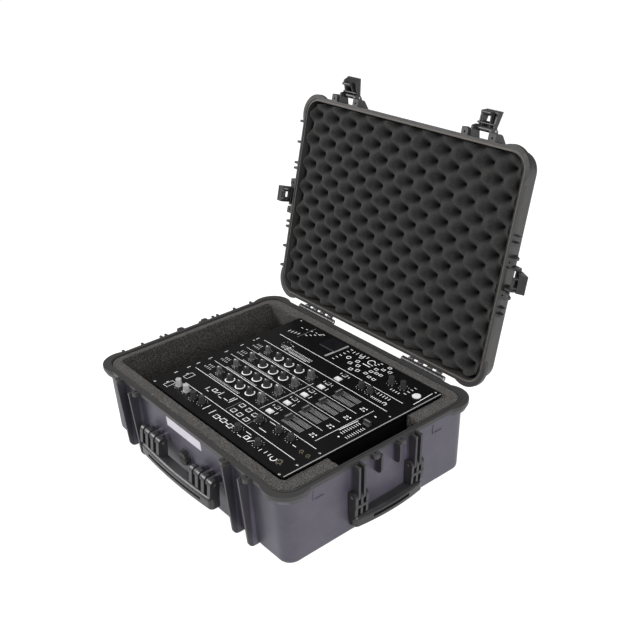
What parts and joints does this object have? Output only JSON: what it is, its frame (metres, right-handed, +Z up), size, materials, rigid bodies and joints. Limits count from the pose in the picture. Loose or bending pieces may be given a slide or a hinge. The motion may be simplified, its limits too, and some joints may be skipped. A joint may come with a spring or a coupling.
{
  "type": "dj mixer flight case",
  "caption": "Moulded water-tight case with a hinged lid, latches, handles and cut foam that holds a DJ mixer with its knobs and faders.",
  "frame": {"origin": "middle of the base's flat underside", "axes": "+Z up, -Y towards the front with the long handle, +X towards the mixer's front edge, +Y towards the hinges"},
  "size_m": [0.7509, 0.6964, 0.6972],
  "materials": {
    "shell_plastic": "moulded, fine grain",
    "lid_plastic": "moulded, fine grain",
    "base_foam": "open-cell foam, speckled",
    "lid_foam": "egg-crate foam",
    "seal_rubber": "soft rubber",
    "label": "bare plate",
    "black_plastic": "moulded, satin",
    "steel": "plain",
    "black_metal": "satin black",
    "foot_rubber": "matt",
    "screen": "gloss",
    "socket_metal": "polished",
    "silver_knob": "satin",
    "black_knob": "soft matt",
    "fader_cap": "soft matt",
    "button": "translucent cap"
  },
  "bodies": {
    "base": {"base_shell": "shell_plastic", "base_foam": "base_foam", "blank_label": "label", "purge_valve_body": "black_plastic", "handle_pins": "steel", "base_hinge_combs": "black_plastic", "hinge_pins": "steel"},
    "lid": {"lid_shell": "lid_plastic", "lid_foam": "lid_foam", "lid_seal": "seal_rubber", "lid_hinge_combs": "black_plastic", "latch_pins": "steel"},
    "mixer": {"mixer_chassis": "black_metal", "mixer_faceplate": "black_metal", "mixer_feet": "foot_rubber", "mixer_screen": "screen", "level_meters": "screen", "small_buttons": "button", "plate_sockets": "socket_metal", "plate_screws": "steel", "rear_sockets": "black_metal", "panel_knobs": "black_knob"},
    "purge_valve_knob": {"purge_valve_knob": "black_plastic"},
    "front_left_latch_lever": {"front_left_latch_lever": "black_plastic"},
    "front_right_latch_lever": {"front_right_latch_lever": "black_plastic"},
    "right_latch_lever": {"right_latch_lever": "black_plastic"},
    "left_latch_lever": {"left_latch_lever": "black_plastic"},
    "front_handle": {"front_handle": "black_plastic"},
    "right_handle": {"right_handle": "black_plastic"},
    "left_handle": {"left_handle": "black_plastic"},
    "trim_knob_1": {"trim_knob_1": "silver_knob"},
    "trim_knob_2": {"trim_knob_2": "silver_knob"},
    "trim_knob_3": {"trim_knob_3": "silver_knob"},
    "trim_knob_4": {"trim_knob_4": "silver_knob"},
    "high_knob_1": {"high_knob_1": "black_knob"},
    "high_knob_2": {"high_knob_2": "black_knob"},
    "high_knob_3": {"high_knob_3": "black_knob"},
    "high_knob_4": {"high_knob_4": "black_knob"},
    "middle_knob_1": {"middle_knob_1": "black_knob"},
    "middle_knob_2": {"middle_knob_2": "black_knob"},
    "middle_knob_3": {"middle_knob_3": "black_knob"},
    "middle_knob_4": {"middle_knob_4": "black_knob"},
    "low_knob_1": {"low_knob_1": "black_knob"},
    "low_knob_2": {"low_knob_2": "black_knob"},
    "low_knob_3": {"low_knob_3": "black_knob"},
    "low_knob_4": {"low_knob_4": "black_knob"},
    "colour_knob_1": {"colour_knob_1": "silver_knob"},
    "colour_knob_2": {"colour_knob_2": "silver_knob"},
    "colour_knob_3": {"colour_knob_3": "silver_knob"},
    "colour_knob_4": {"colour_knob_4": "silver_knob"},
    "channel_fader_1": {"channel_fader_1": "fader_cap"},
    "channel_fader_2": {"channel_fader_2": "fader_cap"},
    "channel_fader_3": {"channel_fader_3": "fader_cap"},
    "channel_fader_4": {"channel_fader_4": "fader_cap"},
    "cross_fader": {"cross_fader": "fader_cap"},
    "cue_button_1": {"cue_button_1": "button"},
    "cue_button_2": {"cue_button_2": "button"},
    "cue_button_3": {"cue_button_3": "button"},
    "cue_button_4": {"cue_button_4": "button"},
    "cue_button_5": {"cue_button_5": "button"}
  },
  "joints": [
    {"name": "lid_hinge", "type": "hinge", "parent": "base", "child": "lid", "pos_m": [0, 0.252, 0.1666], "axis": [-1, 0, 0], "range_deg": [-103.8, 0], "deforming": ["lid_foam"]},
    {"name": "front_left_latch", "type": "hinge", "parent": "lid", "child": "front_left_latch_lever", "pos_m": [-0.19577, 0.39541, 0.65653], "axis": [-1, 0, 0], "range_deg": [-80, 45]},
    {"name": "front_right_latch", "type": "hinge", "parent": "lid", "child": "front_right_latch_lever", "pos_m": [0.19577, 0.39541, 0.65653], "axis": [-1, 0, 0], "range_deg": [-107, 18]},
    {"name": "right_latch", "type": "hinge", "parent": "lid", "child": "right_latch_lever", "pos_m": [0.3435, 0.3331, 0.40287], "axis": [0, 0.2385, 0.9711], "range_deg": [-54, 71]},
    {"name": "left_latch", "type": "hinge", "parent": "lid", "child": "left_latch_lever", "pos_m": [-0.3435, 0.3331, 0.40287], "axis": [0, -0.2385, -0.9711], "range_deg": [-30, 95]},
    {"name": "front_handle_swing", "type": "hinge", "parent": "base", "child": "front_handle", "pos_m": [0, -0.25446, 0.096], "axis": [-1, 0, 0], "range_deg": [0, 95]},
    {"name": "right_handle_swing", "type": "hinge", "parent": "base", "child": "right_handle", "pos_m": [0.33146, 0, 0.096], "axis": [0, -1, 0], "range_deg": [0, 95]},
    {"name": "left_handle_swing", "type": "hinge", "parent": "base", "child": "left_handle", "pos_m": [-0.33146, 0, 0.096], "axis": [0, 1, 0], "range_deg": [0, 95]},
    {"name": "purge_valve_turn", "type": "hinge", "parent": "base", "child": "purge_valve_knob", "pos_m": [0, -0.23327, 0.085], "axis": [0, -1, 0], "range_deg": [0, 180]},
    {"name": "mixer_lift", "type": "slide", "parent": "base", "child": "mixer", "axis": [0, 0, 1], "range_m": [0, 0.13]},
    {"name": "trim_knob_1_turn", "type": "hinge", "parent": "mixer", "child": "trim_knob_1", "pos_m": [-0.09681, -0.08039, 0.173], "axis": [0, 0, -1], "range_deg": [-150, 150]},
    {"name": "trim_knob_2_turn", "type": "hinge", "parent": "mixer", "child": "trim_knob_2", "pos_m": [-0.09681, -0.03741, 0.173], "axis": [0, 0, -1], "range_deg": [-150, 150]},
    {"name": "trim_knob_3_turn", "type": "hinge", "parent": "mixer", "child": "trim_knob_3", "pos_m": [-0.09681, 0.00561, 0.173], "axis": [0, 0, -1], "range_deg": [-150, 150]},
    {"name": "trim_knob_4_turn", "type": "hinge", "parent": "mixer", "child": "trim_knob_4", "pos_m": [-0.09681, 0.04859, 0.173], "axis": [0, 0, -1], "range_deg": [-150, 150]},
    {"name": "high_knob_1_turn", "type": "hinge", "parent": "mixer", "child": "high_knob_1", "pos_m": [-0.0588, -0.08039, 0.173], "axis": [0, 0, -1], "range_deg": [-150, 150]},
    {"name": "high_knob_2_turn", "type": "hinge", "parent": "mixer", "child": "high_knob_2", "pos_m": [-0.0588, -0.03741, 0.173], "axis": [0, 0, -1], "range_deg": [-150, 150]},
    {"name": "high_knob_3_turn", "type": "hinge", "parent": "mixer", "child": "high_knob_3", "pos_m": [-0.0588, 0.00561, 0.173], "axis": [0, 0, -1], "range_deg": [-150, 150]},
    {"name": "high_knob_4_turn", "type": "hinge", "parent": "mixer", "child": "high_knob_4", "pos_m": [-0.0588, 0.04859, 0.173], "axis": [0, 0, -1], "range_deg": [-150, 150]},
    {"name": "middle_knob_1_turn", "type": "hinge", "parent": "mixer", "child": "middle_knob_1", "pos_m": [-0.02281, -0.08039, 0.173], "axis": [0, 0, -1], "range_deg": [-150, 150]},
    {"name": "middle_knob_2_turn", "type": "hinge", "parent": "mixer", "child": "middle_knob_2", "pos_m": [-0.02281, -0.03741, 0.173], "axis": [0, 0, -1], "range_deg": [-150, 150]},
    {"name": "middle_knob_3_turn", "type": "hinge", "parent": "mixer", "child": "middle_knob_3", "pos_m": [-0.02281, 0.00561, 0.173], "axis": [0, 0, -1], "range_deg": [-150, 150]},
    {"name": "middle_knob_4_turn", "type": "hinge", "parent": "mixer", "child": "middle_knob_4", "pos_m": [-0.02281, 0.04859, 0.173], "axis": [0, 0, -1], "range_deg": [-150, 150]},
    {"name": "low_knob_1_turn", "type": "hinge", "parent": "mixer", "child": "low_knob_1", "pos_m": [0.01222, -0.08039, 0.173], "axis": [0, 0, -1], "range_deg": [-150, 150]},
    {"name": "low_knob_2_turn", "type": "hinge", "parent": "mixer", "child": "low_knob_2", "pos_m": [0.01222, -0.03741, 0.173], "axis": [0, 0, -1], "range_deg": [-150, 150]},
    {"name": "low_knob_3_turn", "type": "hinge", "parent": "mixer", "child": "low_knob_3", "pos_m": [0.01222, 0.00561, 0.173], "axis": [0, 0, -1], "range_deg": [-150, 150]},
    {"name": "low_knob_4_turn", "type": "hinge", "parent": "mixer", "child": "low_knob_4", "pos_m": [0.01222, 0.04859, 0.173], "axis": [0, 0, -1], "range_deg": [-150, 150]},
    {"name": "colour_knob_1_turn", "type": "hinge", "parent": "mixer", "child": "colour_knob_1", "pos_m": [0.0522, -0.08039, 0.173], "axis": [0, 0, -1], "range_deg": [-150, 150]},
    {"name": "colour_knob_2_turn", "type": "hinge", "parent": "mixer", "child": "colour_knob_2", "pos_m": [0.0522, -0.03741, 0.173], "axis": [0, 0, -1], "range_deg": [-150, 150]},
    {"name": "colour_knob_3_turn", "type": "hinge", "parent": "mixer", "child": "colour_knob_3", "pos_m": [0.0522, 0.00561, 0.173], "axis": [0, 0, -1], "range_deg": [-150, 150]},
    {"name": "colour_knob_4_turn", "type": "hinge", "parent": "mixer", "child": "colour_knob_4", "pos_m": [0.0522, 0.04859, 0.173], "axis": [0, 0, -1], "range_deg": [-150, 150]},
    {"name": "channel_fader_1_slide", "type": "slide", "parent": "mixer", "child": "channel_fader_1", "axis": [-1, 0, 0], "range_m": [-0.046, 0.008]},
    {"name": "channel_fader_2_slide", "type": "slide", "parent": "mixer", "child": "channel_fader_2", "axis": [-1, 0, 0], "range_m": [-0.046, 0.008]},
    {"name": "channel_fader_3_slide", "type": "slide", "parent": "mixer", "child": "channel_fader_3", "axis": [-1, 0, 0], "range_m": [-0.046, 0.008]},
    {"name": "channel_fader_4_slide", "type": "slide", "parent": "mixer", "child": "channel_fader_4", "axis": [-1, 0, 0], "range_m": [-0.046, 0.008]},
    {"name": "cross_fader_slide", "type": "slide", "parent": "mixer", "child": "cross_fader", "axis": [0, 1, 0], "range_m": [-0.03202, 0.00798]},
    {"name": "cue_button_1_press", "type": "slide", "parent": "mixer", "child": "cue_button_1", "axis": [0, 0, -1], "range_m": [0, 0.001], "stiffness_N_per_m": 400},
    {"name": "cue_button_2_press", "type": "slide", "parent": "mixer", "child": "cue_button_2", "axis": [0, 0, -1], "range_m": [0, 0.001], "stiffness_N_per_m": 400},
    {"name": "cue_button_3_press", "type": "slide", "parent": "mixer", "child": "cue_button_3", "axis": [0, 0, -1], "range_m": [0, 0.001], "stiffness_N_per_m": 400},
    {"name": "cue_button_4_press", "type": "slide", "parent": "mixer", "child": "cue_button_4", "axis": [0, 0, -1], "range_m": [0, 0.001], "stiffness_N_per_m": 400},
    {"name": "cue_button_5_press", "type": "slide", "parent": "mixer", "child": "cue_button_5", "axis": [0, 0, -1], "range_m": [0, 0.001], "stiffness_N_per_m": 400}
  ]
}
